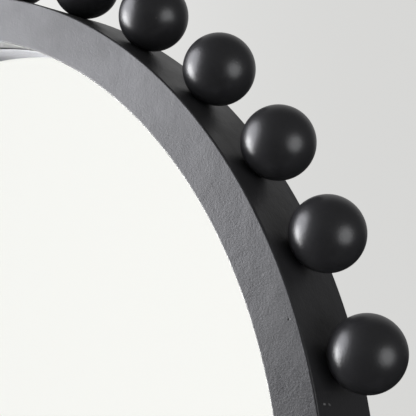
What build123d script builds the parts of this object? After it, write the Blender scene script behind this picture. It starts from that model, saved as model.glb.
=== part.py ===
from build123d import *
import os
from math import cos, radians, sin

os.makedirs("parts", exist_ok=True)

# An arched wall mirror in a deep wooden frame, with turned balls all round its outer edge.
# +X is to the right seen from the front, +Y points into the wall and +Z is up.
# The origin is on the wall, midway between the two hooks that the mirror hangs from.
# Sketches stand on planes at a distance off the wall, are seen from the front,
# and are extruded towards the viewer.

# Frame
frame_width = 584.2  # outer edge to outer edge, without the balls
side_height = 594.0  # from the springline of the arch down to the foot
face_width = 25.4  # how wide the frame looks from the front
frame_depth = 45.0
wall_gap = 6.0  # held off the wall by the bumpers
hook_below_springline = 40.0
arch_segments = 5
stile_sweep_pitches = 1.25  # how far a stile runs on into the arch, in ball pitches
arris_radius = 1.0
lip_chamfer = 0.5

# Balls
ball_diameter = 38.1
ball_seat_depth = 0.75  # how far a ball is coped on to the frame's edge
balls_round_arch = 17
balls_per_side = 11
hand_set_slips = {"ball_right_arch_3": 0.68, "ball_right_arch_4": 0.21}  # degrees up the arch

# Glass and backing board, in a stepped rebate at the back
glass_thickness = 4.0
glass_lap = 6.35  # how far the rebate for the glass goes in behind the lip
glass_clearance = 1.0
glass_arris = 0.4
board_thickness = 6.0
board_set_in = 4.5  # in from the back of the frame
board_lap = 12.7
board_clearance = 0.6

# Dowels
ball_dowel_diameter = 8.0
ball_dowel_in_frame = 12.0
ball_dowel_in_ball = 15.0
joint_dowel_diameter = 6.0
joint_dowel_length = 34.0
joint_dowel_spacing = 18.0  # front dowel to rear dowel
joint_dowel_inset = 8.0  # in from the frame's outer edge, clear of the rebate
corner_dowel_in_stile = 13.0
dowel_end_gap = 1.0
dowel_chamfer = 0.6

# Screws for the backing board
board_screw_diameter = 3.0
board_screw_head = 5.6
board_screw_length = 14.0
board_screw_point = 3.0
board_screws_per_side = 4
board_screws_in_rail = 3

# Hangers: a rolled strap and a D-shaped ring on each stile
strap_sheet = 1.2
strap_width = 12.0
strap_eye_width = 8.5
strap_shoulder = 1.5
strap_from_edge = 8.5  # the strap's centre line, in from the frame's outer edge
eye_lift = 0.35
eye_slit = 0.5
ring_wire = 2.5
ring_inner_width = 11.5
ring_leg = 7.5
ring_corner_radius = 2.0
ring_bore_clearance = 0.08
strap_screw_diameter = 3.5
strap_screw_head = 6.6
strap_screw_head_height = 2.2
strap_screw_head_round = 1.6
strap_screw_length = 14.0
strap_screw_point = 3.5
strap_screw_spacing = 10.5
strap_hole_clearance = 0.2
screw_past_ring = 0.45  # between the hanging ring and the first screw's head

# Bumpers
bumper_diameter = 11.0
bumper_taper = 1.5
bumper_round = 0.8
bumper_above_foot = 14.0
upper_bumper_angle = 58.0

arch_radius = frame_width / 2
springline = hook_below_springline
foot = springline - side_height
opening_radius = arch_radius - face_width
frame_middle = wall_gap + frame_depth / 2
frame_front = wall_gap + frame_depth
land_width = face_width - board_lap
pitch_angle = 180 / balls_round_arch
side_pitch = side_height / balls_per_side
stile_sweep = stile_sweep_pitches * pitch_angle
segment_angle = (180 - 2 * stile_sweep) / arch_segments
ball_radius = ball_diameter / 2
ball_stand_off = ball_radius - ball_seat_depth
board_back = wall_gap + board_set_in
glass_back = board_back + board_thickness
glass_front = glass_back + glass_thickness
cut_reach = 2 * arch_radius
cut_margin = 5.0
bored_from_here = (Align.CENTER, Align.CENTER, Align.MAX)


def arch_face(inset):
    """The frame's outline, drawn in by inset all round: straight sides, a half circle, a flat foot."""
    radius = arch_radius - inset
    right_foot = (radius, foot + inset)
    left_foot = (-radius, foot + inset)
    with BuildSketch() as outline:
        with BuildLine():
            sides = Polyline((radius, springline), right_foot, left_foot, (-radius, springline))
            ThreePointArc(sides @ 0, (0, springline + radius), sides @ 1)
        make_face()
    return outline.sketch


def on_arch(angle, radius, off_wall):
    """A point on the arch: angle in degrees up from the right-hand springline."""
    across = radius * cos(radians(angle))
    up = springline + radius * sin(radians(angle))
    return Vector(across, -off_wall, up)


def arch_plane(angle, radius, off_wall):
    """A plane on the arch that faces straight out from its centre."""
    outwards = (cos(radians(angle)), 0, sin(radians(angle)))
    return Plane(on_arch(angle, radius, off_wall), x_dir=(0, 1, 0), z_dir=outwards)


def side_plane(side, height, off_wall):
    """A plane on a stile's outer edge that faces away from the mirror. Side is 1 or -1, right or left."""
    return Plane((side * arch_radius, -off_wall, height), x_dir=(0, 1, 0), z_dir=(side, 0, 0))


def back_plane(across, height, off_wall):
    """A plane that faces the wall."""
    return Plane((across, -off_wall, height), x_dir=(1, 0, 0), z_dir=(0, 1, 0))


def export(piece, name):
    piece.part.label = name
    export_step(piece.part, f"parts/{name}.step")


# Where the balls sit
ball_seats = {}
for number in range(balls_round_arch):
    angle = (number + 0.5) * pitch_angle
    steps_from_top = number - (balls_round_arch - 1) // 2
    if steps_from_top < 0:
        name = f"ball_right_arch_{number + 1}"
    elif steps_from_top > 0:
        name = f"ball_left_arch_{balls_round_arch - number}"
    else:
        name = "ball_crown"
    ball_seats[name] = arch_plane(angle + hand_set_slips.get(name, 0), arch_radius, frame_middle)
for side, side_name in ((1, "right"), (-1, "left")):
    for number in range(balls_per_side):
        height = springline - (number + 0.5) * side_pitch
        ball_seats[f"ball_{side_name}_side_{number + 1}"] = side_plane(side, height, frame_middle)

# Where the pieces of the frame meet, and the dowels across those joints
joint_angles = [stile_sweep + number * segment_angle for number in range(arch_segments + 1)]
dowel_rows = [frame_middle - joint_dowel_spacing / 2, frame_middle + joint_dowel_spacing / 2]
joint_dowel_places = []
for off_wall in dowel_rows:
    for angle in joint_angles:
        centre = on_arch(angle, arch_radius - joint_dowel_inset, off_wall)
        along = (-sin(radians(angle)), 0, cos(radians(angle)))
        joint_dowel_places.append(Plane(centre, z_dir=along))
    for side in (1, -1):
        across = side * (opening_radius + corner_dowel_in_stile - joint_dowel_length / 2)
        centre = (across, -off_wall, foot + joint_dowel_inset)
        joint_dowel_places.append(Plane(centre, z_dir=(side, 0, 0)))

# Where the screws of the backing board go, between the edge of the glass and the edge of the board
board_screw_inset = face_width - (glass_lap + board_lap) / 2
screw_line = arch_radius - board_screw_inset
board_screw_places = []
for number in range(arch_segments):
    angle = joint_angles[number] + segment_angle / 2
    point = on_arch(angle, screw_line, board_back)
    board_screw_places.append(back_plane(point.X, point.Z, board_back))
for side in (1, -1):
    for number in range(board_screws_per_side):
        height = springline - (number + 0.5) * side_height / board_screws_per_side
        board_screw_places.append(back_plane(side * screw_line, height, board_back))
for number in range(board_screws_in_rail):
    across = (number - (board_screws_in_rail - 1) / 2) * opening_radius / board_screws_in_rail * 2
    board_screw_places.append(back_plane(across, foot + board_screw_inset, board_back))

# Hanger sizes and places
wire_radius = ring_wire / 2
eye_bore = wire_radius + ring_bore_clearance
eye_radius = eye_bore + strap_sheet
eye_off_wall = wall_gap - eye_lift - eye_radius
ring_half_width = (ring_inner_width + ring_wire) / 2
ring_drop = ring_leg + ring_half_width - wire_radius
eye_height = -ring_drop
first_screw_drop = ring_drop + ring_wire + screw_past_ring + strap_screw_head / 2
screw_drops = [first_screw_drop, first_screw_drop + strap_screw_spacing]
strap_tail = screw_drops[-1] + strap_width / 2
hanger_across = arch_radius - strap_from_edge
strap_screw_places = []
for side in (1, -1):
    for drop in screw_drops:
        seat = back_plane(side * hanger_across, eye_height - drop, wall_gap - strap_sheet)
        strap_screw_places.append(seat)

# Bumper places, in the middle of the land behind the frame
land_line = arch_radius - land_width / 2
bumper_places = []
for side in (1, -1):
    upper = on_arch(90 - side * (90 - upper_bumper_angle), land_line, wall_gap)
    bumper_places.append(back_plane(upper.X, upper.Z, wall_gap))
    bumper_places.append(back_plane(side * land_line, foot + bumper_above_foot, wall_gap))

# The whole frame, before it is parted into its pieces
with BuildPart() as frame_ring:
    with BuildSketch(Plane.XZ.offset(wall_gap)):
        add(arch_face(0))
        add(arch_face(face_width), mode=Mode.SUBTRACT)
    extrude(amount=frame_depth)
    with BuildSketch(Plane.XZ.offset(wall_gap)):
        add(arch_face(face_width - board_lap))
    extrude(amount=glass_back - wall_gap, mode=Mode.SUBTRACT)
    with BuildSketch(Plane.XZ.offset(glass_back)):
        add(arch_face(face_width - glass_lap))
    extrude(amount=glass_thickness, mode=Mode.SUBTRACT)
    front_edges = frame_ring.faces().sort_by(Axis.Y)[0].edges()
    fillet(front_edges, radius=arris_radius)
    lip_back = frame_ring.faces().filter_by(Axis.Y).group_by(Axis.Y)[1][0]
    chamfer(lip_back.inner_wires()[0].edges(), length=lip_chamfer)
    with Locations(*ball_seats.values()):
        Hole(radius=ball_dowel_diameter / 2, depth=ball_dowel_in_frame + dowel_end_gap)
    with Locations(*joint_dowel_places):
        Cylinder(joint_dowel_diameter / 2, joint_dowel_length + 2 * dowel_end_gap, mode=Mode.SUBTRACT)
    with Locations(*board_screw_places):
        Hole(radius=board_screw_diameter / 2, depth=board_screw_length + dowel_end_gap)
    with Locations(*strap_screw_places):
        Hole(radius=strap_screw_diameter / 2, depth=strap_screw_length + dowel_end_gap)


def arch_segment(low_angle, high_angle):
    """One curved piece of the frame, between two joints of the arch."""
    corners = [(0, springline)]
    for angle in (low_angle, high_angle):
        corners.append((cut_reach * cos(radians(angle)), springline + cut_reach * sin(radians(angle))))
    with BuildPart() as segment:
        add(frame_ring.part)
        with BuildSketch(Plane.XZ.offset(wall_gap)):
            with BuildLine():
                Polyline(*corners, close=True)
            make_face()
        extrude(amount=frame_depth, mode=Mode.INTERSECT)
    return segment


def stile(side):
    """A straight side of the frame with the foot of the arch on it, from the foot to the first joint."""
    reach = side * cut_reach
    inside = side * (opening_radius - cut_margin)
    rail_end = side * opening_radius
    rail_top = foot + face_width + cut_margin
    joint = (reach * cos(radians(stile_sweep)), springline + cut_reach * sin(radians(stile_sweep)))
    with BuildPart() as piece:
        add(frame_ring.part)
        with BuildSketch(Plane.XZ.offset(wall_gap)):
            with BuildLine():
                Polyline(
                    (0, springline),
                    joint,
                    (reach, foot - cut_margin),
                    (rail_end, foot - cut_margin),
                    (rail_end, rail_top),
                    (inside, rail_top),
                    (inside, springline),
                    close=True,
                )
            make_face()
        extrude(amount=frame_depth, mode=Mode.INTERSECT)
    return piece


segment_names = [
    "lower_right_segment",
    "upper_right_segment",
    "crown_segment",
    "upper_left_segment",
    "lower_left_segment",
]
for number, name in enumerate(segment_names):
    export(arch_segment(joint_angles[number], joint_angles[number + 1]), name)
export(stile(1), "right_stile")
export(stile(-1), "left_stile")

with BuildPart() as bottom_rail:
    add(frame_ring.part)
    with BuildSketch(Plane.XZ.offset(wall_gap)):
        with Locations((0, foot)):
            Rectangle(2 * opening_radius, 2 * (face_width + cut_margin))
    extrude(amount=frame_depth, mode=Mode.INTERSECT)
export(bottom_rail, "bottom_rail")

# Glass and board
with BuildPart() as mirror_glass:
    with BuildSketch(Plane.XZ.offset(glass_back)):
        add(arch_face(face_width - glass_lap + glass_clearance))
    extrude(amount=glass_thickness)
    chamfer(mirror_glass.faces().filter_by(Axis.Y).edges(), length=glass_arris)
export(mirror_glass, "mirror_glass")

with BuildPart() as backing_board:
    with BuildSketch(Plane.XZ.offset(board_back)):
        add(arch_face(face_width - board_lap + board_clearance))
    extrude(amount=board_thickness)
    with Locations(*board_screw_places):
        CounterSinkHole(
            radius=board_screw_diameter / 2,
            counter_sink_radius=board_screw_head / 2,
            depth=board_thickness,
            counter_sink_angle=90,
        )
export(backing_board, "backing_board")


def ball(seat):
    """A turned ball, coped to the frame's edge and bored for its dowel."""
    with BuildPart(seat) as piece:
        with Locations((0, 0, ball_stand_off)):
            Sphere(ball_radius)
        with Locations((0, 0, ball_dowel_in_ball + dowel_end_gap)):
            Cylinder(ball_dowel_diameter / 2, ball_diameter, align=bored_from_here, mode=Mode.SUBTRACT)
        with BuildSketch(Plane.XZ.offset(wall_gap)):
            add(arch_face(0))
        extrude(amount=frame_depth, mode=Mode.SUBTRACT)
    return piece


for name, seat in ball_seats.items():
    export(ball(seat), name)


def dowel(diameter, length):
    """A plain dowel with chamfered ends, standing on its own middle."""
    with BuildPart() as pin:
        Cylinder(diameter / 2, length)
        chamfer(pin.edges().filter_by(GeomType.CIRCLE), length=dowel_chamfer)
    return pin.part


ball_dowel = dowel(ball_dowel_diameter, ball_dowel_in_frame + ball_dowel_in_ball)
ball_dowel_shift = (ball_dowel_in_ball - ball_dowel_in_frame) / 2
with BuildPart() as ball_dowels:
    with Locations(*[seat.offset(ball_dowel_shift) for seat in ball_seats.values()]):
        add(ball_dowel)
export(ball_dowels, "ball_dowels")

joint_dowel = dowel(joint_dowel_diameter, joint_dowel_length)
with BuildPart() as joint_dowels:
    with Locations(*joint_dowel_places):
        add(joint_dowel)
export(joint_dowels, "joint_dowels")

# A countersunk screw, its head flush with its plane and its point below it
board_shank = board_screw_diameter / 2
board_head = board_screw_head / 2
with BuildPart() as board_screw:
    with BuildSketch(Plane.XZ):
        with BuildLine():
            Polyline(
                (0, 0),
                (board_head, 0),
                (board_shank, board_shank - board_head),
                (board_shank, board_screw_point - board_screw_length),
                (0, -board_screw_length),
                close=True,
            )
        make_face()
    revolve(axis=Axis.Z)

with BuildPart() as backing_screws:
    with Locations(*board_screw_places):
        add(board_screw.part)
export(backing_screws, "backing_screws")

# A pan head screw, its head standing on its plane
strap_shank = strap_screw_diameter / 2
strap_head = strap_screw_head / 2
with BuildPart() as strap_screw:
    with BuildSketch(Plane.XZ):
        with BuildLine():
            Polyline(
                (0, strap_screw_head_height),
                (strap_head, strap_screw_head_height),
                (strap_head, 0),
                (strap_shank, 0),
                (strap_shank, strap_screw_point - strap_screw_length),
                (0, -strap_screw_length),
                close=True,
            )
        make_face()
    revolve(axis=Axis.Z)
    top_edge = strap_screw.edges().filter_by(GeomType.CIRCLE).sort_by(Axis.Z)[-1]
    fillet(top_edge, radius=strap_screw_head_round)

with BuildPart() as strap_screws:
    with Locations(*strap_screw_places):
        add(strap_screw.part)
export(strap_screws, "strap_screws")


def hanger_strap(side):
    """A strap of sheet steel, rolled into an eye round the ring's bar and screwed to the stile."""
    across = side * hanger_across
    frame_back = -wall_gap
    with BuildPart() as strap:
        with BuildSketch(Plane.YZ.offset(across - strap_width / 2)):
            with Locations((-eye_off_wall, eye_height)):
                Circle(eye_radius)
            with Locations((frame_back, eye_height)):
                Rectangle(strap_sheet, strap_tail, align=(Align.MIN, Align.MAX))
            with Locations((-eye_off_wall, eye_height)):
                Circle(eye_bore, mode=Mode.SUBTRACT)
            with Locations((frame_back + strap_sheet, eye_height - eye_bore)):
                Rectangle(eye_slit, strap_sheet * 2, align=(Align.MIN, Align.MAX), mode=Mode.SUBTRACT)
        extrude(amount=strap_width)
        with BuildSketch(Plane.XZ):
            with Locations((across, eye_height + eye_radius)):
                eye_length = eye_radius * 2 + strap_shoulder
                Rectangle(strap_eye_width, eye_length, align=(Align.CENTER, Align.MAX))
            with Locations((across, eye_height - eye_radius - strap_shoulder)):
                tail_length = strap_tail - eye_radius - strap_shoulder - strap_width / 2
                Rectangle(strap_width, tail_length, align=(Align.CENTER, Align.MAX))
            with Locations((across, eye_height - strap_tail + strap_width / 2)):
                Circle(strap_width / 2)
            with Locations(*[(across, eye_height - drop) for drop in screw_drops]):
                Circle(strap_shank + strap_hole_clearance, mode=Mode.SUBTRACT)
        extrude(amount=wall_gap, mode=Mode.INTERSECT)
    return strap


def hanger_ring(side):
    """A D-shaped ring of round wire, hanging from its strap's eye."""
    bar_half = ring_half_width - ring_corner_radius
    with BuildPart() as ring:
        with BuildLine(Plane.XZ.offset(eye_off_wall)) as path:
            middle = side * hanger_across
            left, right = middle - ring_half_width, middle + ring_half_width
            bar = Line((middle - bar_half, eye_height), (middle + bar_half, eye_height))
            corner = RadiusArc(bar @ 1, (right, eye_height - ring_corner_radius), ring_corner_radius)
            leg = Line(corner @ 1, (right, eye_height - ring_leg))
            low_point = (middle, eye_height - ring_leg - ring_half_width)
            bow = ThreePointArc(leg @ 1, low_point, (left, eye_height - ring_leg))
            other_leg = Line(bow @ 1, (left, eye_height - ring_corner_radius))
            RadiusArc(other_leg @ 1, bar @ 0, ring_corner_radius)
        with BuildSketch(Plane(path.line @ 0, z_dir=path.line % 0)):
            Circle(wire_radius)
        sweep(path=path.line)
    return ring


for side, side_name in ((1, "right"), (-1, "left")):
    export(hanger_strap(side), f"{side_name}_strap")
    export(hanger_ring(side), f"{side_name}_ring")

# Rubber bumpers: they taper towards the wall
with BuildPart() as bumper:
    with BuildSketch():
        Circle(bumper_diameter / 2)
    with BuildSketch(Plane.XY.offset(wall_gap)):
        Circle(bumper_diameter / 2 - bumper_taper)
    loft()
    fillet(bumper.edges().sort_by(Axis.Z)[-1], radius=bumper_round)

with BuildPart() as wall_bumpers:
    with Locations(*bumper_places):
        add(bumper.part)
export(wall_bumpers, "wall_bumpers")
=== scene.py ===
import bpy, bmesh, math
from mathutils import Matrix, Vector


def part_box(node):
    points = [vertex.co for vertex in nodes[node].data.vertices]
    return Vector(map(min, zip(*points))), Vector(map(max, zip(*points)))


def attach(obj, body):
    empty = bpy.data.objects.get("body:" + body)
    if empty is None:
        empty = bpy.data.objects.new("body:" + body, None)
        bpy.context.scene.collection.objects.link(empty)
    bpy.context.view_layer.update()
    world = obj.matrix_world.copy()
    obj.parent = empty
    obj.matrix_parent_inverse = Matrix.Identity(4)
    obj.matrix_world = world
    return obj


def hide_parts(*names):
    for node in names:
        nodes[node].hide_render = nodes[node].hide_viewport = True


# Black arched wall mirror with a ball edge. Row frame: metres, origin midway between the two wall hooks,
# +X right seen from the front, +Y into the wall, +Z up.
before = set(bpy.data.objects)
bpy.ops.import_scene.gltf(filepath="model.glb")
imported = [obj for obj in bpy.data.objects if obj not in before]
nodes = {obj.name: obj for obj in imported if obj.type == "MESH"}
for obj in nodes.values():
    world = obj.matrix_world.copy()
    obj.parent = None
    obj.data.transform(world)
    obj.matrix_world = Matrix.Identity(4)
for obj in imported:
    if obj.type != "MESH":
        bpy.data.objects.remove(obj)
bpy.context.view_layer.update()
scene = bpy.context.scene
mm = 0.001
print("frame loaded:", len(nodes), "nodes")

# Where the CAD has things
mirrorForm = {
    "archRadius": 292.1 * mm,  # outer edge of the frame
    "springline": 40 * mm,  # height of the arch's centre
    "foot": -554 * mm,
    "stileSweep": 13.235,  # degrees from the springline to the first joint of the arch
    "segmentAngle": 30.706,
    "ballCentre": -28.5 * mm,  # along Y
}


# Camera
cameraLook = {
    "eye": (0.59429, -0.52570, 0.13918),
    "target": (0.22082, -0.05100, 0.19466),
    "roll": 0.853,  # degrees
    "lens": 106.3,
    "sensor": 36,
    "near": 0.02,
    "far": 60,
}


def placeCamera(look):
    camera = bpy.data.objects.new("camera", bpy.data.cameras.new("camera"))
    scene.collection.objects.link(camera)
    camera.data.lens = look["lens"]
    camera.data.sensor_width = look["sensor"]
    camera.data.clip_start = look["near"]
    camera.data.clip_end = look["far"]
    eye, target = Vector(look["eye"]), Vector(look["target"])
    aim = (target - eye).to_track_quat("-Z", "Y").to_matrix().to_4x4()
    camera.matrix_world = Matrix.Translation(eye) @ aim @ Matrix.Rotation(math.radians(look["roll"]), 4, "Z")
    scene.camera = camera


placeCamera(cameraLook)
print("camera placed")


# Shader helpers
def feed(tree, made, inputs):
    for key, value in inputs.items():
        if isinstance(value, bpy.types.NodeSocket):
            tree.links.new(value, made.inputs[key])
        else:
            made.inputs[key].default_value = value


def put(tree, kind, inputs=None, **settings):
    made = tree.nodes.new("ShaderNode" + kind)
    for key, value in settings.items():
        setattr(made, key, value)
    feed(tree, made, inputs or {})
    return made


def startGroup(name, inputs, outputs):
    group = bpy.data.node_groups.new(name, "ShaderNodeTree")
    for label, kind, value in inputs:
        socket = group.interface.new_socket(label, in_out="INPUT", socket_type="NodeSocket" + kind)
        if value is not None:
            socket.default_value = value
    for label, kind in outputs:
        group.interface.new_socket(label, in_out="OUTPUT", socket_type="NodeSocket" + kind)
    given = group.nodes.new("NodeGroupInput").outputs
    out = group.nodes.new("NodeGroupOutput").inputs
    return group, given, out


def useGroup(tree, group, inputs):
    made = tree.nodes.new("ShaderNodeGroup")
    made.node_tree = group
    feed(tree, made, inputs)
    return made.outputs


def calculate(tree, operation, a, b=0.0, clamp=False):
    return put(tree, "Math", {0: a, 1: b}, operation=operation, use_clamp=clamp).outputs[0]


def vectorMath(tree, operation, a, b, result="Vector"):
    return put(tree, "VectorMath", {0: a, 1: b}, operation=operation).outputs[result]


def remap(tree, value, low, high, outLow=0.0, outHigh=1.0):
    inputs = {"Value": value, "From Min": low, "From Max": high, "To Min": outLow, "To Max": outHigh}
    return put(tree, "MapRange", inputs).outputs[0]


def noise(tree, vector, scale, detail=2.0, roughness=0.5, distortion=0.0, result="Fac"):
    inputs = {"Vector": vector, "Scale": scale, "Detail": detail, "Roughness": roughness}
    inputs["Distortion"] = distortion
    return put(tree, "TexNoise", inputs).outputs[result]


def mix(tree, factor, a, b):
    made = put(tree, "Mix", {"Factor": factor, "A": a, "B": b}, data_type="RGBA")
    return made.outputs["Result"]


def bump(tree, height, distance, normal=None, invert=False):
    inputs = {"Height": height, "Distance": distance}
    if normal is not None:
        inputs["Normal"] = normal
    return put(tree, "Bump", inputs, invert=invert).outputs[0]


def turnAboutY(tree, vector, degrees):
    return put(tree, "Mapping", {"Vector": vector, "Rotation": (0, math.radians(degrees), 0)}).outputs[0]


def grey(level):
    return (level, level, level, 1)


def startMaterial(name):
    material = bpy.data.materials.new(name)
    material.use_nodes = True
    tree = material.node_tree
    shader = tree.nodes["Principled BSDF"]
    here = put(tree, "TexCoord").outputs["Object"]
    return material, tree, shader, here


# Wood grain: long lines that sway a little, and short open pores
woodGrainLook = {
    "across": 0.0011,
    "along": 0.045,
    "bend": {"scale": 14.0, "detail": 1.0},
    "sway": (0.004, 0.004, 0.0),
    "growth": {"scale": 1.0, "detail": 3.0, "roughness": 0.6},
    "growthShare": 0.65,
    "wide": {"scale": 0.22, "detail": 2.0},
    "wideShare": 0.35,
    "pores": {"scale": 1.9, "detail": 1.0},
    "poreRange": (0.63, 0.72),
}
noiseMiddle = (0.5, 0.5, 0.5)


def makeWoodGrain(look):
    group, given, out = startGroup(
        "woodGrain",
        [("Vector", "Vector", None), ("Across", "Float", look["across"]), ("Along", "Float", look["along"])],
        [("Height", "Float"), ("Pores", "Float")],
    )
    across = calculate(group, "DIVIDE", 1.0, given["Across"])
    along = calculate(group, "DIVIDE", 1.0, given["Along"])
    stretch = put(group, "CombineXYZ", {"X": across, "Y": across, "Z": along}).outputs[0]
    bend = noise(group, given["Vector"], result="Color", **look["bend"])
    centred = vectorMath(group, "SUBTRACT", bend, noiseMiddle)
    swayInputs = {0: centred, 1: look["sway"], 2: given["Vector"]}
    swayed = put(group, "VectorMath", swayInputs, operation="MULTIPLY_ADD").outputs[0]
    lines = vectorMath(group, "MULTIPLY", swayed, stretch)
    growth = calculate(group, "MULTIPLY", noise(group, lines, **look["growth"]), look["growthShare"])
    wide = calculate(group, "MULTIPLY", noise(group, lines, **look["wide"]), look["wideShare"])
    group.links.new(calculate(group, "ADD", growth, wide), out["Height"])
    pores = noise(group, lines, **look["pores"])
    group.links.new(remap(group, pores, *look["poreRange"]), out["Pores"])
    return group


# Skin of a sprayed coat: fine peel, cloudy mottle and a few dust specks
paintSkinLook = {
    "peel": 900.0,
    "peelDetail": 2.0,
    "cloud": 26.0,
    "cloudDetail": 4.0,
    "cloudRoughness": 0.6,
    "mottleRange": (0.3, 0.7),
    "speckScale": 170.0,
    "speckEdge": (0.05, 0.09),
    "speckChosen": (0.93, 0.95),  # keeps about one cell in sixteen
}


def makePaintSkin(look):
    group, given, out = startGroup(
        "paintSkin",
        [("Vector", "Vector", None), ("Peel", "Float", look["peel"]), ("Cloud", "Float", look["cloud"])],
        [("Height", "Float"), ("Mottle", "Float"), ("Specks", "Float")],
    )
    peel = noise(group, given["Vector"], given["Peel"], look["peelDetail"])
    group.links.new(peel, out["Height"])
    cloud = noise(group, given["Vector"], given["Cloud"], look["cloudDetail"], look["cloudRoughness"])
    group.links.new(remap(group, cloud, *look["mottleRange"]), out["Mottle"])
    cells = {"Vector": given["Vector"], "Scale": look["speckScale"], "Randomness": 1.0}
    dots = put(group, "TexVoronoi", cells)
    near = remap(group, dots.outputs["Distance"], *look["speckEdge"], 1.0, 0.0)
    cellValue = put(group, "SeparateColor", {0: dots.outputs["Color"]}).outputs[0]
    chosen = remap(group, cellValue, *look["speckChosen"])
    group.links.new(calculate(group, "MULTIPLY", near, chosen), out["Specks"])
    return group


# Rubbed edges, in patches
edgeRubLook = {
    "radius": 0.0012,
    "samples": 4,
    "turnRange": (0.995, 0.90),
    "patches": {"scale": 140.0, "detail": 4.0},
    "patchRange": (0.42, 0.66),
}


def makeEdgeRub(look):
    group, given, out = startGroup(
        "edgeRub",
        [("Radius", "Float", look["radius"]), ("Vector", "Vector", None)],
        [("Mask", "Float")],
    )
    rounded = put(group, "Bevel", {"Radius": given["Radius"]}, samples=look["samples"]).outputs[0]
    flat = put(group, "NewGeometry").outputs["Normal"]
    turn = vectorMath(group, "DOT_PRODUCT", rounded, flat, "Value")
    edge = remap(group, turn, *look["turnRange"])
    patches = remap(group, noise(group, given["Vector"], **look["patches"]), *look["patchRange"])
    group.links.new(calculate(group, "MULTIPLY", edge, patches), out["Mask"])
    return group


# Dust that lies on what faces up, together with painted top light: faces that point up are made lighter
topDustAndLightLook = {
    "upwardRange": (0.25, 1.0),
    "grains": {"scale": 420.0, "detail": 4.0, "roughness": 0.7},
    "grainRange": (0.35, 0.75),
}


def makeTopDustAndLight(look):
    group, given, out = startGroup("topDustAndLight", [("Vector", "Vector", None)], [("Mask", "Float")])
    facing = put(group, "NewGeometry").outputs["Normal"]
    upward = put(group, "SeparateXYZ", {0: facing}).outputs["Z"]
    lying = remap(group, upward, *look["upwardRange"])
    grains = remap(group, noise(group, given["Vector"], **look["grains"]), *look["grainRange"])
    group.links.new(calculate(group, "MULTIPLY", lying, grains), out["Mask"])
    return group


# One ragged mark between two points
scratchLook = {
    "from": (0, 0, 0),
    "to": (0, 0, 1),
    "width": 0.0005,
    "raggedScale": 1300.0,
    "raggedBase": 0.5,
    "edge": (1.0, 0.45),
}


def makeScratch(look):
    group, given, out = startGroup(
        "scratch",
        [
            ("Vector", "Vector", None),
            ("From", "Vector", look["from"]),
            ("To", "Vector", look["to"]),
            ("Width", "Float", look["width"]),
        ],
        [("Mask", "Float")],
    )
    along = vectorMath(group, "SUBTRACT", given["To"], given["From"])
    away = vectorMath(group, "SUBTRACT", given["Vector"], given["From"])
    reach = vectorMath(group, "DOT_PRODUCT", away, along, "Value")
    square = vectorMath(group, "DOT_PRODUCT", along, along, "Value")
    share = calculate(group, "DIVIDE", reach, square, clamp=True)
    foot = put(group, "VectorMath", {0: along, "Scale": share}, operation="SCALE").outputs[0]
    gap = vectorMath(group, "DISTANCE", away, foot, "Value")
    ragged = noise(group, given["Vector"], look["raggedScale"])
    spread = calculate(group, "ADD", ragged, look["raggedBase"])
    width = calculate(group, "MULTIPLY", given["Width"], spread)
    group.links.new(remap(group, calculate(group, "DIVIDE", gap, width), *look["edge"]), out["Mask"])
    return group


woodGrain = makeWoodGrain(woodGrainLook)
paintSkin = makePaintSkin(paintSkinLook)
edgeRub = makeEdgeRub(edgeRubLook)
topDustAndLight = makeTopDustAndLight(topDustAndLightLook)
scratch = makeScratch(scratchLook)
print("shared effects built")


# Black satin paint on the frame
framePaintLook = {
    "black": (0.0220, 0.0220, 0.0240, 1),
    "specular": 0.9,  # over the usual 0.5, chosen to match the sheen in the photograph
    "rubbed": (0.034, 0.032, 0.032, 1),
    # the lighter colour of upward faces: dust, and painted light from above
    "dustAndTopLight": (0.10, 0.095, 0.088, 1),
    "dustAndTopLightCover": 0.10,
    "mottleShare": 0.6,
    "grainShare": 0.4,
    "sheenRange": (0.2, 0.8),
    "roughness": (0.33, 0.48),
    "grainDepth": 0.000040,
    "waveDepth": 0.00022,
    "poreDepth": 0.000008,
    "peelDepth": 0.00008,
}
frameMarks = {  # small marks of use, and painted shade beside the chip, with how light each one is
    "hairCrack": {
        "from": (0.20497, -0.051, 0.22015),
        "to": (0.21380, -0.051, 0.20790),
        "width": 0.00042,
        "tone": 0.004,
    },
    "chip": {
        "from": (0.27030, -0.051, 0.14040),
        "to": (0.27040, -0.051, 0.14080),
        "width": 0.00050,
        "tone": 0.11,
    },
    # painted shade: a dark spot on the unlit side of the chip's dent
    "chipShade": {
        "from": (0.26925, -0.051, 0.14030),
        "to": (0.26935, -0.051, 0.14060),
        "width": 0.00070,
        "tone": 0.004,
    },
    "sideNick": {
        "from": (0.28544, -0.0450, 0.10200),
        "to": (0.28548, -0.0440, 0.10190),
        "width": 0.00060,
        "tone": 0.16,
    },
    "sideNickLow": {
        "from": (0.28548, -0.0408, 0.10184),
        "to": (0.28560, -0.0400, 0.10130),
        "width": 0.00060,
        "tone": 0.12,
    },
}


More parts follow.
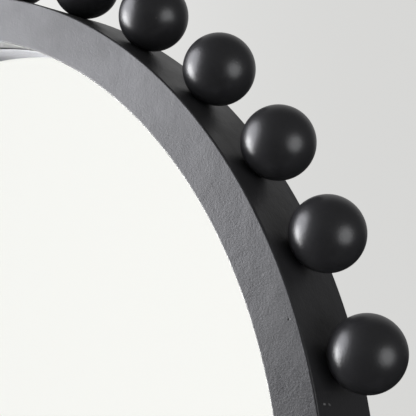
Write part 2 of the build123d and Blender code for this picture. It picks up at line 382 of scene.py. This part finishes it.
def makeFramePaint(name, grainTurn, marks, look):
    material, tree, shader, here = startMaterial(name)
    grain = useGroup(tree, woodGrain, {"Vector": turnAboutY(tree, here, grainTurn)})
    skin = useGroup(tree, paintSkin, {"Vector": here})
    rub = useGroup(tree, edgeRub, {"Vector": here})["Mask"]
    dustAndTopLight = useGroup(tree, topDustAndLight, {"Vector": here})["Mask"]
    colour = mix(tree, rub, look["black"], look["rubbed"])
    # upward faces made lighter: dust, and painted light from above
    colour = mix(tree, calculate(tree, "MULTIPLY", dustAndTopLight, look["dustAndTopLightCover"]), colour, look["dustAndTopLight"])
    dulled = 0.0
    for mark in marks:
        line = {"Vector": here, "From": mark["from"], "To": mark["to"], "Width": mark["width"]}
        mask = useGroup(tree, scratch, line)["Mask"]
        colour = mix(tree, mask, colour, grey(mark["tone"]))
        if mark["tone"] < look["black"][0]:
            # a dark mark has no sheen either
            dulled = calculate(tree, "MAXIMUM", dulled, mask)
    tree.links.new(colour, shader.inputs["Base Color"])
    mottle = calculate(tree, "MULTIPLY", skin["Mottle"], look["mottleShare"])
    lines = calculate(tree, "MULTIPLY", grain["Height"], look["grainShare"])
    sheen = remap(tree, calculate(tree, "ADD", mottle, lines), *look["sheenRange"], *look["roughness"])
    tree.links.new(calculate(tree, "MAXIMUM", sheen, dulled), shader.inputs["Roughness"])
    waves = bump(tree, skin["Mottle"], look["waveDepth"])
    ridges = bump(tree, grain["Height"], look["grainDepth"], waves)
    pores = bump(tree, grain["Pores"], look["poreDepth"], ridges, invert=True)
    skinned = bump(tree, skin["Height"], look["peelDepth"], pores)
    tree.links.new(skinned, shader.inputs["Normal"])
    shader.inputs["Specular IOR Level"].default_value = look["specular"]
    return material


# Black satin paint on the turned balls
ballPaintLook = {
    "black": (0.0205, 0.0205, 0.0225, 1),
    "specular": 0.9,
    # the lighter colour of upward faces: dust, and painted light from above
    "dustAndTopLight": (0.10, 0.095, 0.088, 1),
    "dustAndTopLightCover": 0.07,
    "speckCover": 0.5,
    "roughness": (0.30, 0.36),
    "ringScale": 1500.0,
    "ringDetail": 3.0,
    "turningDepth": 0.000016,
    "peel": 1300.0,
    "cloud": 60.0,
    "peelDepth": 0.000050,
}


def makeBallPaint(name, look):
    material, tree, shader, here = startMaterial(name)
    skin = useGroup(tree, paintSkin, {"Vector": here, "Peel": look["peel"], "Cloud": look["cloud"]})
    dustAndTopLight = useGroup(tree, topDustAndLight, {"Vector": here})["Mask"]
    # rings left by turning lie round each ball's peg, which points at the arch's centre
    # or, on a straight side, at the mirror's upright middle line
    place = put(tree, "SeparateXYZ", {0: here}).outputs
    aboveSpringline = calculate(tree, "SUBTRACT", place["Z"], mirrorForm["springline"])
    rise = calculate(tree, "MAXIMUM", aboveSpringline, 0.0)
    flatPlace = put(tree, "CombineXYZ", {"X": place["X"], "Z": rise}).outputs[0]
    outward = put(tree, "VectorMath", {0: flatPlace}, operation="LENGTH").outputs["Value"]
    ringInputs = {"W": outward, "Scale": look["ringScale"], "Detail": look["ringDetail"]}
    rings = put(tree, "TexNoise", ringInputs, noise_dimensions="1D").outputs["Fac"]
    specks = calculate(tree, "MULTIPLY", skin["Specks"], look["speckCover"])
    # upward faces made lighter (dust and painted light from above), plus real dust specks
    dustedAndTopLit = calculate(tree, "MAXIMUM", calculate(tree, "MULTIPLY", dustAndTopLight, look["dustAndTopLightCover"]), specks)
    tree.links.new(mix(tree, dustedAndTopLit, look["black"], look["dustAndTopLight"]), shader.inputs["Base Color"])
    tree.links.new(remap(tree, skin["Mottle"], 0, 1, *look["roughness"]), shader.inputs["Roughness"])
    turned = bump(tree, rings, look["turningDepth"])
    tree.links.new(bump(tree, skin["Height"], look["peelDepth"], turned), shader.inputs["Normal"])
    shader.inputs["Specular IOR Level"].default_value = look["specular"]
    return material


def dress(piece, material):
    piece.data.materials.clear()
    piece.data.materials.append(material)


def segmentMiddle(number):
    return mirrorForm["stileSweep"] + (number + 0.5) * mirrorForm["segmentAngle"]


segmentNames = [
    "lower_right_segment",
    "upper_right_segment",
    "crown_segment",
    "upper_left_segment",
    "lower_left_segment",
]
grainTurns = {"right_stile": 0, "left_stile": 0, "bottom_rail": 90}
for number, name in enumerate(segmentNames):
    grainTurns[name] = segmentMiddle(number)
marksOf = {
    "upper_right_segment": ["hairCrack"],
    "lower_right_segment": ["chip", "chipShade"],
    "right_stile": ["sideNick", "sideNickLow"],
}
for name, turn in grainTurns.items():
    marks = [frameMarks[mark] for mark in marksOf.get(name, [])]
    dress(nodes[name], makeFramePaint("framePaint_" + name, turn, marks, framePaintLook))
ballPaint = makeBallPaint("ballPaint", ballPaintLook)
for name in nodes:
    if name.startswith("ball_") and name != "ball_dowels":
        dress(nodes[name], ballPaint)
print("paint on")


# Glass, with the silvering as a sheet of its own just inside its back
glassLook = {"tint": (0.995, 1.0, 0.995, 1), "ior": 1.5}
silverLook = {
    "colour": (0.985, 0.985, 0.978, 1),
    "film": {"scale": 9.0, "detail": 2.0},
    "filmRange": (0.35, 0.7),
    "roughness": (0.0, 0.004),
}
silveringForm = {
    "inset": 22.0 * mm,
    "y": -16.55 * mm,
    "thickness": 0.04 * mm,
    "segments": 192,
    "cutReach": 1e-6,  # how near the springline a point counts as cut there
}


def makeGlass(look):
    material, _, shader, _ = startMaterial("floatGlass")
    shader.inputs["Base Color"].default_value = look["tint"]
    shader.inputs["Transmission Weight"].default_value = 1
    shader.inputs["IOR"].default_value = look["ior"]
    shader.inputs["Roughness"].default_value = 0
    return material


def makeSilver(look):
    material, tree, shader, here = startMaterial("silver")
    shader.inputs["Base Color"].default_value = look["colour"]
    shader.inputs["Metallic"].default_value = 1
    film = noise(tree, here, **look["film"])
    tree.links.new(remap(tree, film, *look["filmRange"], *look["roughness"]), shader.inputs["Roughness"])
    return material


def looseObject(name, shape):
    mesh = bpy.data.meshes.new(name)
    shape.to_mesh(mesh)
    shape.free()
    made = bpy.data.objects.new(name, mesh)
    scene.collection.objects.link(made)
    return made


def newPiece(name, shape, material):
    piece = looseObject(name, shape)
    dress(piece, material)
    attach(piece, "mirror")
    return piece


def pointsOf(elements):
    return [element for element in elements if isinstance(element, bmesh.types.BMVert)]


def rotate(shape, vertices, degrees, axis):
    turn = Matrix.Rotation(math.radians(degrees), 3, axis)
    bmesh.ops.rotate(shape, verts=vertices, cent=(0, 0, 0), matrix=turn)


def makeSilvering(form):
    # upper half of a disc, drawn down to the foot and stood upright
    radius = mirrorForm["archRadius"] - form["inset"]
    shape = bmesh.new()
    bmesh.ops.create_circle(shape, cap_ends=True, radius=radius, segments=form["segments"])
    whole = shape.verts[:] + shape.edges[:] + shape.faces[:]
    bmesh.ops.bisect_plane(shape, geom=whole, plane_co=(0, 0, 0), plane_no=(0, 1, 0), clear_inner=True)
    cut = [edge for edge in shape.edges if all(abs(v.co.y) < form["cutReach"] for v in edge.verts)]
    drawn = bmesh.ops.extrude_edge_only(shape, edges=cut)["geom"]
    drop = mirrorForm["foot"] + form["inset"] - mirrorForm["springline"]
    bmesh.ops.translate(shape, verts=pointsOf(drawn), vec=(0, drop, 0))
    rotate(shape, shape.verts, 90, "X")
    bmesh.ops.translate(shape, verts=shape.verts, vec=(0, form["y"], mirrorForm["springline"]))
    raised = bmesh.ops.extrude_face_region(shape, geom=shape.faces[:])["geom"]
    bmesh.ops.translate(shape, verts=pointsOf(raised), vec=(0, form["thickness"], 0))
    bmesh.ops.recalc_face_normals(shape, faces=shape.faces)
    newPiece("silvering", shape, makeSilver(silverLook))


dress(nodes["mirror_glass"], makeGlass(glassLook))
makeSilvering(silveringForm)
print("glass silvered")


# Backing board
boardLook = {
    "brown": (0.235, 0.145, 0.082, 1),
    "pale": (0.36, 0.245, 0.155, 1),
    "dark": (0.120, 0.070, 0.040, 1),
    "fibres": {"scale": 520.0, "detail": 5.0, "roughness": 0.75, "distortion": 1.2},
    "fibreRange": (0.3, 0.7),
    "fibreDepth": 0.00012,
    "clouds": {"scale": 12.0, "detail": 3.0},
    "cloudCover": 0.25,
    "cloudRange": (0.3, 0.7),
    "chipScale": 330.0,
    "chipRange": (0.16, 0.06),
    "chipCover": 0.6,
    "roughness": (0.55, 0.72),
}


def makeBoard(look):
    material, tree, shader, here = startMaterial("hardboard")
    fibres = noise(tree, here, **look["fibres"])
    clouds = noise(tree, here, **look["clouds"])
    cells = put(tree, "TexVoronoi", {"Vector": here, "Scale": look["chipScale"]}, feature="F1")
    chips = remap(tree, cells.outputs["Distance"], *look["chipRange"])
    colour = mix(tree, remap(tree, fibres, *look["fibreRange"]), look["brown"], look["pale"])
    colour = mix(tree, calculate(tree, "MULTIPLY", chips, look["chipCover"]), colour, look["dark"])
    colour = mix(tree, calculate(tree, "MULTIPLY", clouds, look["cloudCover"]), colour, look["dark"])
    tree.links.new(colour, shader.inputs["Base Color"])
    tree.links.new(remap(tree, clouds, *look["cloudRange"], *look["roughness"]), shader.inputs["Roughness"])
    tree.links.new(bump(tree, fibres, look["fibreDepth"]), shader.inputs["Normal"])
    return material


# Plated steel of the screws, straps and rings
platingLook = {
    "peel": 2600.0,
    "cloud": 160.0,
    "rubRadius": 0.0004,
    "rubbed": (0.80, 0.80, 0.79, 1),
    "dulling": (0.72, 0.72, 0.70),
    "peelDepth": 0.000008,
}
zincLook = {"tone": (0.66, 0.65, 0.61, 1), "roughness": (0.30, 0.44)}
steelLook = {"tone": (0.62, 0.62, 0.61, 1), "roughness": (0.22, 0.34)}


def makePlating(name, metal, look):
    material, tree, shader, here = startMaterial(name)
    skin = useGroup(tree, paintSkin, {"Vector": here, "Peel": look["peel"], "Cloud": look["cloud"]})
    rub = useGroup(tree, edgeRub, {"Vector": here, "Radius": look["rubRadius"]})["Mask"]
    dull = [tone * share for tone, share in zip(metal["tone"], look["dulling"])] + [1]
    colour = mix(tree, skin["Mottle"], metal["tone"], dull)
    tree.links.new(mix(tree, rub, colour, look["rubbed"]), shader.inputs["Base Color"])
    shader.inputs["Metallic"].default_value = 1
    tree.links.new(remap(tree, skin["Mottle"], 0, 1, *metal["roughness"]), shader.inputs["Roughness"])
    tree.links.new(bump(tree, skin["Height"], look["peelDepth"]), shader.inputs["Normal"])
    return material


# Bare beech of the dowels
beechLook = {
    "dark": (0.50, 0.33, 0.19, 1),
    "pale": (0.72, 0.54, 0.36, 1),
    "across": 0.0006,
    "along": 0.012,
    "grainRange": (0.3, 0.7),
    "roughness": (0.6, 0.7),
    "grainDepth": 0.00004,
}


def makeBeech(name, grainTurn, look):
    material, tree, shader, here = startMaterial(name)
    laid = turnAboutY(tree, here, grainTurn)
    grain = useGroup(tree, woodGrain, {"Vector": laid, "Across": look["across"], "Along": look["along"]})
    tree.links.new(mix(tree, grain["Height"], look["dark"], look["pale"]), shader.inputs["Base Color"])
    rough = remap(tree, grain["Height"], *look["grainRange"], *look["roughness"])
    tree.links.new(rough, shader.inputs["Roughness"])
    tree.links.new(bump(tree, grain["Height"], look["grainDepth"]), shader.inputs["Normal"])
    return material


# Rubber of the bumpers
rubberLook = {
    "black": (0.022, 0.022, 0.023, 1),
    # the lighter colour of upward faces: dust, and painted light from above
    "dustAndTopLight": (0.14, 0.135, 0.13, 1),
    "dustAndTopLightCover": 0.3,
    "peel": 2200.0,
    "cloud": 200.0,
    "roughness": (0.62, 0.78),
    "peelDepth": 0.00003,
}


def makeRubber(look):
    material, tree, shader, here = startMaterial("blackRubber")
    skin = useGroup(tree, paintSkin, {"Vector": here, "Peel": look["peel"], "Cloud": look["cloud"]})
    dustAndTopLight = useGroup(tree, topDustAndLight, {"Vector": here})["Mask"]
    # upward faces made lighter: dust, and painted light from above
    dustedAndTopLit = calculate(tree, "MULTIPLY", dustAndTopLight, look["dustAndTopLightCover"])
    tree.links.new(mix(tree, dustedAndTopLit, look["black"], look["dustAndTopLight"]), shader.inputs["Base Color"])
    tree.links.new(remap(tree, skin["Mottle"], 0, 1, *look["roughness"]), shader.inputs["Roughness"])
    tree.links.new(bump(tree, skin["Height"], look["peelDepth"]), shader.inputs["Normal"])
    return material


dress(nodes["backing_board"], makeBoard(boardLook))
zincPlate = makePlating("zincPlate", zincLook, platingLook)
brightSteel = makePlating("brightSteel", steelLook, platingLook)
for name in ("left_strap", "right_strap", "left_ring", "right_ring"):
    dress(nodes[name], brightSteel)
dress(nodes["ball_dowels"], makeBeech("beechPegs", 90, beechLook))
dress(nodes["joint_dowels"], makeBeech("beechDowels", 0, beechLook))
dress(nodes["wall_bumpers"], makeRubber(rubberLook))
print("back finished")


# Screws with cross recesses, which stand for the plain CAD screws
boardScrewForm = {
    "head": 2.8 * mm,
    "shank": 1.5 * mm,
    "sink": 1.3 * mm,
    "length": 14 * mm,
    "point": 3 * mm,
    "rise": 0.0,
    "round": 0.0,
    "arm": 1.75 * mm,
    "slot": 0.36 * mm,
    "recess": 1.35 * mm,
}
strapScrewForm = {
    "head": 3.3 * mm,
    "shank": 1.75 * mm,
    "sink": 0.0,
    "length": 14 * mm,
    "point": 3.5 * mm,
    "rise": 2.2 * mm,
    "round": 1.6 * mm,
    "arm": 2.0 * mm,
    "slot": 0.42 * mm,
    "recess": 1.5 * mm,
}
screwMaking = {
    "sides": 40,
    "roundSteps": 6,
    "mergeReach": 1e-7,
    "recessTaper": (0.45, 0.7, 1),
    "firstTurn": 13,  # degrees that the first screw's recess is turned
    "turnStep": 47,  # how much further each next one is turned
    "smoothBelow": 28,  # degrees between two faces
}


def screwProfile(form):
    # from the middle of the head's top to the point, in the XZ plane
    points = [(0.0, form["rise"])]
    if form["round"]:
        for step in range(screwMaking["roundSteps"] + 1):
            turn = math.radians(90 - step * 90 / screwMaking["roundSteps"])
            x = form["head"] - form["round"] + form["round"] * math.cos(turn)
            z = form["rise"] - form["round"] + form["round"] * math.sin(turn)
            points.append((x, z))
        points += [(form["head"], 0.0), (form["shank"], 0.0)]
    else:
        points += [(form["head"], 0.0), (form["shank"], -form["sink"])]
    points += [(form["shank"], form["point"] - form["length"]), (0.0, -form["length"])]
    return points


def makeScrewBlank(form):
    shape = bmesh.new()
    corners = [shape.verts.new((x, 0, z)) for x, z in screwProfile(form)]
    edges = [shape.edges.new(pair) for pair in zip(corners, corners[1:])]
    whole = {"geom": corners + edges, "angle": math.tau, "steps": screwMaking["sides"]}
    bmesh.ops.spin(shape, cent=(0, 0, 0), axis=(0, 0, 1), use_merge=True, **whole)
    bmesh.ops.remove_doubles(shape, verts=shape.verts, dist=screwMaking["mergeReach"])
    bmesh.ops.recalc_face_normals(shape, faces=shape.faces)
    return looseObject("screwBlank", shape)


def makeRecessCutter(form):
    bar = bmesh.new()
    for turn in (0, 90):
        made = bmesh.ops.create_cube(bar, size=1)["verts"]
        bmesh.ops.scale(bar, verts=made, vec=(form["arm"] * 2, form["slot"] * 2, form["recess"] * 2))
        low = [v for v in made if v.co.z < 0]
        bmesh.ops.scale(bar, verts=low, vec=screwMaking["recessTaper"])
        rotate(bar, made, turn, "Z")
    bmesh.ops.translate(bar, verts=bar.verts, vec=(0, 0, form["rise"]))
    return looseObject("recessCutter", bar)


def makeScrew(form):
    screw = makeScrewBlank(form)
    cutter = makeRecessCutter(form)
    carve = screw.modifiers.new("recess", "BOOLEAN")
    carve.operation = "DIFFERENCE"
    carve.solver = "EXACT"
    carve.object = cutter
    carve.use_self = True
    bpy.context.view_layer.update()
    carved = bmesh.new()
    carved.from_object(screw, bpy.context.evaluated_depsgraph_get())
    for loose in (screw, cutter):
        bpy.data.objects.remove(loose)
    return carved


def smoothScrews(shape):
    for face in shape.faces:
        face.smooth = True
    for edge in shape.edges:
        sharpest = math.radians(screwMaking["smoothBelow"])
        edge.smooth = len(edge.link_faces) != 2 or edge.calc_face_angle() < sharpest


def makeScrewSet(name, form, places, node):
    blank = makeScrew(form)
    template = bpy.data.meshes.new(name + "Blank")
    blank.to_mesh(template)
    blank.free()
    shape = bmesh.new()
    for number, place in enumerate(places):
        before = set(shape.verts)
        shape.from_mesh(template)
        fresh = [v for v in shape.verts if v not in before]
        stopped = (number * screwMaking["turnStep"] + screwMaking["firstTurn"]) % 90
        laid = Matrix.Rotation(math.radians(-90), 4, "X")
        stand = Matrix.Translation(place) @ (laid @ Matrix.Rotation(math.radians(stopped), 4, "Z"))
        bmesh.ops.transform(shape, verts=fresh, matrix=stand)
    bpy.data.meshes.remove(template)
    smoothScrews(shape)
    screws = newPiece(name, shape, zincPlate)
    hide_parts(node)


def onArch(angle, radius):
    turn = math.radians(angle)
    return radius * math.cos(turn), mirrorForm["springline"] + radius * math.sin(turn)


boardScrewLine = {"inset": 15.875 * mm, "y": -10.5 * mm, "perSide": 4, "railStep": 177.8 * mm}
strapScrewLine = {"x": 283.6 * mm, "y": -4.8 * mm}


def boardScrewPlaces(line):
    radius = mirrorForm["archRadius"] - line["inset"]
    sideHeight = mirrorForm["springline"] - mirrorForm["foot"]
    places = []
    for number in range(len(segmentNames)):
        x, z = onArch(segmentMiddle(number), radius)
        places.append((x, line["y"], z))
    for side in (1, -1):
        for number in range(line["perSide"]):
            z = mirrorForm["springline"] - (number + 0.5) * sideHeight / line["perSide"]
            places.append((side * radius, line["y"], z))
    for step in (-1, 0, 1):
        places.append((step * line["railStep"], line["y"], mirrorForm["foot"] + line["inset"]))
    return places


def strapScrewPlaces(line):
    low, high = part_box("strap_screws")
    heights = (high.z - strapScrewForm["head"], low.z + strapScrewForm["head"])
    return [(side * line["x"], line["y"], z) for side in (1, -1) for z in heights]


boardPlaces = boardScrewPlaces(boardScrewLine)
makeScrewSet("board_screws", boardScrewForm, boardPlaces, "backing_screws")
strapPlaces = strapScrewPlaces(strapScrewLine)
makeScrewSet("hanger_screws", strapScrewForm, strapPlaces, "strap_screws")
print("screws cut")


# A bead of paint that ran round the foot of one ball
beadForm = {
    "angle": 27.15,  # where ball_right_arch_3 stands, in degrees up the arch
    "around": 10.9 * mm,
    "thick": 0.26 * mm,
    "sink": 0.10 * mm,
    "from": 100,
    "sweep": 75,
    "steps": 24,
    "segments": 10,
}


def makePaintBead(form):
    shape = bmesh.new()
    bmesh.ops.create_circle(shape, cap_ends=True, radius=form["thick"], segments=form["segments"])
    rotate(shape, shape.verts, 90, "X")
    bmesh.ops.translate(shape, verts=shape.verts, vec=(form["around"], 0, 0))
    rotate(shape, shape.verts, form["from"], "Z")
    path = {"angle": math.radians(form["sweep"]), "steps": form["steps"]}
    bmesh.ops.spin(shape, geom=shape.faces[:], cent=(0, 0, 0), axis=(0, 0, 1), **path)
    bmesh.ops.recalc_face_normals(shape, faces=shape.faces)
    for face in shape.faces:
        face.smooth = len(face.verts) == 4
    x, z = onArch(form["angle"], mirrorForm["archRadius"] - form["sink"])
    turn = math.radians(form["angle"])
    outward = Vector((math.cos(turn), 0, math.sin(turn)))
    down = Vector((math.sin(turn), 0, -math.cos(turn)))
    stand = Matrix((down, outward.cross(down), outward)).transposed().to_4x4()
    placed = Matrix.Translation((x, mirrorForm["ballCentre"], z)) @ stand
    bmesh.ops.transform(shape, verts=shape.verts, matrix=placed)
    newPiece("paint_bead", shape, ballPaint)


makePaintBead(beadForm)
print("paint bead laid")


# Floor
floorLook = {
    "size": 5.0,
    "drop": 0.0005,  # how far under the mirror's foot it lies
    "colour": (0.80, 0.80, 0.79, 1),
    "roughness": 0.9,
}


def makeFloor(look):
    shape = bmesh.new()
    bmesh.ops.create_grid(shape, x_segments=1, y_segments=1, size=look["size"] / 2)
    bmesh.ops.translate(shape, verts=shape.verts, vec=(0, 0, mirrorForm["foot"] - look["drop"]))
    floor = looseObject("floor", shape)
    material, _, shader, _ = startMaterial("palePlaster")
    shader.inputs["Base Color"].default_value = look["colour"]
    shader.inputs["Roughness"].default_value = look["roughness"]
    dress(floor, material)
    floor.visible_glossy = False


# World: one colour for each kind of ray
skyLook = {
    "fill": 0.45,  # for rays that are neither camera, glossy nor transmission rays
    "room": (0.995, 0.995, 0.970, 1),  # for transmission rays, so what the mirror shows
    "backdropLeft": (0.86, 0.86, 0.85, 1),
    "backdropRight": (0.683, 0.683, 0.671, 1),
    "leftward": (-0.786, -0.618, 0.0),  # to the left in the photograph's view
    "leftwardRange": (-0.175, 0.152),
    "leftwardPower": 2.2,
    "gloss": 0.50,  # level of the light patch that glossy rays meet
    "patch": (-0.55, 0.75, 0.35),
    "patchRange": (0.55, 1.0),
    "patchLevels": (0.10, 1.0),
    "horizonRange": (-0.10, 0.12),
    "horizonLevels": (0.06, 1.0),
}


def makeWorld(look):
    world = bpy.data.worlds.new("studio")
    scene.world = world
    world.use_nodes = True
    tree = world.node_tree
    rays = put(tree, "LightPath").outputs
    towards = put(tree, "TexCoord").outputs["Generated"]
    height = put(tree, "SeparateXYZ", {0: towards}).outputs["Z"]
    # the backdrop that the camera sees is lighter on the left
    leftward = vectorMath(tree, "DOT_PRODUCT", towards, look["leftward"], "Value")
    lean = calculate(tree, "POWER", remap(tree, leftward, *look["leftwardRange"]), look["leftwardPower"])
    backdrop = mix(tree, lean, look["backdropRight"], look["backdropLeft"])
    # glossy rays meet a light patch up behind the mirror, on the left, and a dim room elsewhere
    nearPatch = vectorMath(tree, "DOT_PRODUCT", towards, look["patch"], "Value")
    patch = remap(tree, nearPatch, *look["patchRange"], *look["patchLevels"])
    horizon = remap(tree, height, *look["horizonRange"], *look["horizonLevels"])
    shine = calculate(tree, "MULTIPLY", calculate(tree, "MULTIPLY", patch, horizon), look["gloss"])
    shineGrey = put(tree, "CombineXYZ", {"X": shine, "Y": shine, "Z": shine}).outputs[0]
    shown = mix(tree, rays["Is Glossy Ray"], grey(look["fill"]), shineGrey)
    shown = mix(tree, rays["Is Transmission Ray"], shown, look["room"])
    shown = mix(tree, rays["Is Camera Ray"], shown, backdrop)
    tree.links.new(shown, tree.nodes["Background"].inputs["Color"])


# Lamps. Directions are seen from the mirror: azimuth 0 is straight out of its front, and 90 to the right.
# Angles and sizes are in degrees.
lamps = {
    "windowLeft": {
        "azimuth": -67,
        "elevation": -4,
        "wide": 25,
        "high": 38,
        "glow": 9.0,
        "colour": (1, 1, 1),
        "inMirror": True,
    },
    "windowGlow": {
        "azimuth": -57,
        "elevation": 17,
        "wide": 50,
        "high": 56,
        "glow": 4.1,
        "colour": (0.955, 0.96, 1.02),
        "inMirror": False,
    },
    "cardRight": {
        "azimuth": 87,
        "elevation": -6,
        "wide": 42,
        "high": 40,
        "glow": 2.1,
        "colour": (0.97, 0.98, 1),
        "inMirror": False,
    },
}
lampAim = Vector((0.18, -0.03, 0.15))
lampDistance = 3.0


def lampSpan(degrees):
    return 2 * lampDistance * math.tan(math.radians(degrees / 2))


def placeLamp(name, look):
    lamp = bpy.data.objects.new(name, bpy.data.lights.new(name, "AREA"))
    lamp.data.shape = "ELLIPSE"
    lamp.data.size = lampSpan(look["wide"])
    lamp.data.size_y = lampSpan(look["high"])
    # glow is the lamp's radiance, and pi / 4 turns the box round the ellipse into its area
    lamp.data.energy = look["glow"] * math.pi * math.pi / 4 * lamp.data.size * lamp.data.size_y
    lamp.data.color = look["colour"]
    azimuth, elevation = math.radians(look["azimuth"]), math.radians(look["elevation"])
    level = math.cos(elevation)
    outwards = Vector((math.sin(azimuth) * level, -math.cos(azimuth) * level, math.sin(elevation)))
    aimed = (-outwards).to_track_quat("-Z", "Y").to_matrix().to_4x4()
    lamp.matrix_world = Matrix.Translation(lampAim + lampDistance * outwards) @ aimed
    lamp.visible_camera = False
    lamp.visible_transmission = look["inMirror"]
    scene.collection.objects.link(lamp)
    if not look["inMirror"]:
        # the front of the glass gives no reflection of this lamp either
        unlit = bpy.data.collections.new(name + "Unlit")
        unlit.objects.link(nodes["mirror_glass"])
        lamp.light_linking.receiver_collection = unlit
        unlit.collection_objects[0].light_linking.link_state = "EXCLUDE"


makeFloor(floorLook)
makeWorld(skyLook)
for name, look in lamps.items():
    placeLamp(name, look)
scene.view_settings.view_transform = "Standard"
print("studio set")

bpy.context.view_layer.update()
